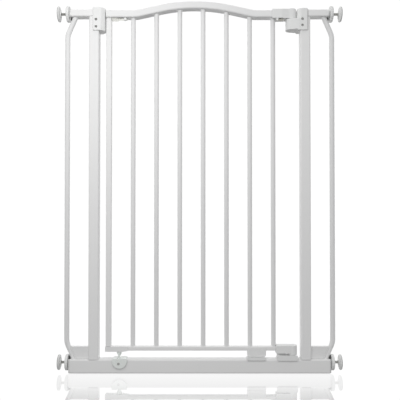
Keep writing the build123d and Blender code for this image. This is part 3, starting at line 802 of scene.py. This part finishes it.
def gusset_welds(side_name, side):
    """Beads along both faces of a gusset: up the post, along the base bar and in the groove at the rod."""
    low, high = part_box(side_name + "_gusset")
    inner_x, outer_x = (high.x, low.x) if side < 0 else (low.x, high.x)
    foot_x = outer_x - side * 0.013
    foot_z = low.z + UNDER_FACE
    for face, y in (("front", low.y), ("back", high.y)):
        turn = Vector((inner_x, y, foot_z))
        corners = [Vector((inner_x, y, high.z - 0.002)), turn, Vector((foot_x, y, foot_z))]
        bead("weld_%s_gusset_%s" % (side_name, face), corners, "frame", 0.7)
    base_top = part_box("base_bar")[1].z
    rod_outer_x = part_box("right_side_rod")[1].x - ROD_RADIUS
    lean = (rod_outer_x - ROD_FOOT_X) / (ROD_LOW_BEND_Z - base_top)
    for face, y in (("front", -0.0038), ("back", 0.0038)):
        ends = []
        for z in (base_top - 0.0005, high.z - 0.0008):
            ends.append(Vector((side * (ROD_FOOT_X - 0.0065 + (z - base_top) * lean), y, z)))
        bead("weld_%s_rod_%s" % (side_name, face), ends, "frame", 2.7)


def lip_shadow_line(plate):
    """Thin dark strip under the front lip of a plate on the base bar: a painted shadow of the lip."""
    low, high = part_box(plate)
    lip_z = min(v.co.z for v in NODES[plate].data.vertices if v.co.y < low.y + 0.0005)
    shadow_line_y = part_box("base_bar")[0].y - 0.0006
    start_x, length = low.x + 0.0016, high.x - low.x - 0.0032
    run = [Vector((start_x + length * k / 40, shadow_line_y, lip_z - 0.0003)) for k in range(41)]
    shadow_line = sweep("seal_" + plate, run, 0.75, "pad_rubber", 12)
    paint(shadow_line, DARK_TAB_AND_SHADOW_PLASTIC)
    extra(shadow_line, "frame")


for side_name, wall_side in SIDES:
    post_welds(side_name)
    gusset_welds(side_name, wall_side)
# dark strips under the plate lips stand for the lips' shadow: painted shadow
for plate in ("lower_hinge_seat", "stop_plate"):
    lip_shadow_line(plate)
low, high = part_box("latch_stile")
bead("weld_stile_head", ring_round(low, high, high.z - UNDER_FACE), "door", 0.7, True)

# ------------------------------------------------------------------ softened edges
# bevel widths in mm of the moulded and folded CAD pieces
EDGE = {
    "latch_housing_front": 1.0, "latch_housing_back": 1.0, "hinge_housing_front": 1.0,
    "hinge_housing_back": 1.0, "upper_hinge_arm": 0.8, "lower_hinge_arm": 0.8, "lower_hinge_seat": 0.6,
    "stop_plate": 0.4, "stop_block": 0.6, "rail_end_cap": 0.4, "lower_catch": 0.5,
    "latch_corner_bracket": 0.5, "left_gusset": 0.8, "right_gusset": 0.8, "bolt_strip": 0.35,
    "bolt_guide": 0.25, "tube_end_plugs": 0.4, "upper_hinge_cap": 0.3,
}
EDGE_ANGLE = math.radians(38)
for name, width in EDGE.items():
    node = NODES[name]
    weld = node.modifiers.new("join", "WELD")
    weld.merge_threshold = 1e-6
    bevel = node.modifiers.new("soft_edge", "BEVEL")
    bevel.width = width * MM
    bevel.segments = 3
    bevel.limit_method = "ANGLE"
    bevel.angle_limit = EDGE_ANGLE
    bevel.use_clamp_overlap = True
    bevel.harden_normals = True


# ------------------------------------------------------------------ stage: floor, white surround
FLOOR_HALF = 5.9
DOME_RADIUS = 6.0
GLOW = 1.02


def glowing(name):
    """Material that only glows white: (material, tree, output, glow)."""
    mat = bpy.data.materials.new(name)
    mat.use_nodes = True
    tree = mat.node_tree
    tree.nodes.clear()
    out = tree.nodes.new("ShaderNodeOutputMaterial")
    glow = tree.nodes.new("ShaderNodeEmission")
    glow.inputs["Color"].default_value = (1, 1, 1, 1)
    glow.inputs["Strength"].default_value = GLOW
    tree.links.new(glow.outputs["Emission"], out.inputs["Surface"])
    return mat, tree, out, glow


def floor_material():
    """White studio acrylic: its mirror grows towards the front of the floor."""
    mat, tree, out, glow = glowing("studio_floor")
    gloss = tree.nodes.new("ShaderNodeBsdfGlossy")
    gloss.inputs["Color"].default_value = (1, 1, 1, 1)
    gloss.inputs["Roughness"].default_value = 0.03
    mix = tree.nodes.new("ShaderNodeMixShader")
    coord = tree.nodes.new("ShaderNodeTexCoord")
    split = tree.nodes.new("ShaderNodeSeparateXYZ")
    tree.links.new(coord.outputs["Object"], split.inputs["Vector"])
    place = tree.nodes.new("ShaderNodeMapRange")
    place.inputs["From Min"].default_value = 0.0
    place.inputs["From Max"].default_value = -0.25
    tree.links.new(split.outputs["Y"], place.inputs["Value"])
    mirror = ((0.0, 0.14), (0.14, 0.18), (0.48, 0.27), (0.93, 0.62), (1.0, 0.66))
    share = ramp(tree, place.outputs["Result"], mirror)
    tree.links.new(share.outputs["Color"], mix.inputs["Fac"])
    tree.links.new(glow.outputs["Emission"], mix.inputs[1])
    tree.links.new(gloss.outputs["BSDF"], mix.inputs[2])
    tree.links.new(mix.outputs["Shader"], out.inputs["Surface"])
    return mat


def staged_piece(name, mesh, material):
    """Object of the studio: seen and mirrored, but out of diffuse light and shadow."""
    mesh.materials.append(material)
    obj = bpy.data.objects.new(name, mesh)
    SCENE.collection.objects.link(obj)
    obj.visible_diffuse = False
    obj.visible_shadow = False
    return obj


def quad(name, half, z, material):
    """Square floor."""
    corners = [(-half, -half, z), (half, -half, z), (half, half, z), (-half, half, z)]
    mesh = bpy.data.meshes.new(name)
    mesh.from_pydata(corners, [], [(0, 1, 2, 3)])
    return staged_piece(name, mesh, material)


def dome(name, radius, material):
    """Sphere all round the gate."""
    mesh = bpy.data.meshes.new(name)
    bm = bmesh.new()
    bmesh.ops.create_uvsphere(bm, u_segments=48, v_segments=24, radius=radius)
    bm.to_mesh(mesh)
    bm.free()
    return staged_piece(name, mesh, material)


studio_floor = quad("studio_floor", FLOOR_HALF, -0.0003, floor_material())
surround = dome("surround", DOME_RADIUS, glowing("surround")[0])


# ------------------------------------------------------------------ light: soft sky, one key lamp
def sky_light():
    """Ambient light, dim from below and even from above."""
    world = bpy.data.worlds.new("ambient")
    SCENE.world = world
    world.use_nodes = True
    tree = world.node_tree
    background = tree.nodes["Background"]
    coord = tree.nodes.new("ShaderNodeTexCoord")
    split = tree.nodes.new("ShaderNodeSeparateXYZ")
    tree.links.new(coord.outputs["Generated"], split.inputs["Vector"])
    height = tree.nodes.new("ShaderNodeMapRange")
    height.inputs["From Min"].default_value = -1.0
    height.inputs["From Max"].default_value = 1.0
    tree.links.new(split.outputs["Z"], height.inputs["Value"])
    tones = ((0.0, 0.09), (0.25, 0.19), (0.46, 0.53), (0.55, 0.60), (1.0, 0.62))
    sky = ramp(tree, height.outputs["Result"], tones)
    tree.links.new(sky.outputs["Color"], background.inputs["Color"])
    background.inputs["Strength"].default_value = 1.0


def key_light(place, watts, size):
    """Round lamp up at the front left."""
    data = bpy.data.lights.new("key", "POINT")
    data.energy = watts
    data.shadow_soft_size = size
    key = bpy.data.objects.new("key", data)
    key.location = place
    key.visible_glossy = False
    SCENE.collection.objects.link(key)


sky_light()
key_light((-0.256, -0.687, 0.96), 9.4, 0.12)


# ------------------------------------------------------------------ camera
CAMERA_PLACE = (-0.0006, -1.600, 0.4327)
CAMERA_TILT = math.radians(0.9)
LENS_MM = 51.228
LENS_SHIFT = (0.00125, 0.0219)

camera_data = bpy.data.cameras.new("camera")
camera_data.sensor_width = 36.0
camera_data.lens = LENS_MM
camera_data.shift_x, camera_data.shift_y = LENS_SHIFT
camera_data.clip_start = 0.05
camera_data.clip_end = 30.0
camera = bpy.data.objects.new("camera", camera_data)
SCENE.collection.objects.link(camera)
camera.location = CAMERA_PLACE
camera.rotation_mode = "XYZ"
camera.rotation_euler = (math.radians(90) + CAMERA_TILT, 0.0, 0.0)
SCENE.camera = camera
SCENE.view_settings.view_transform = "Standard"
SCENE.view_settings.look = "None"
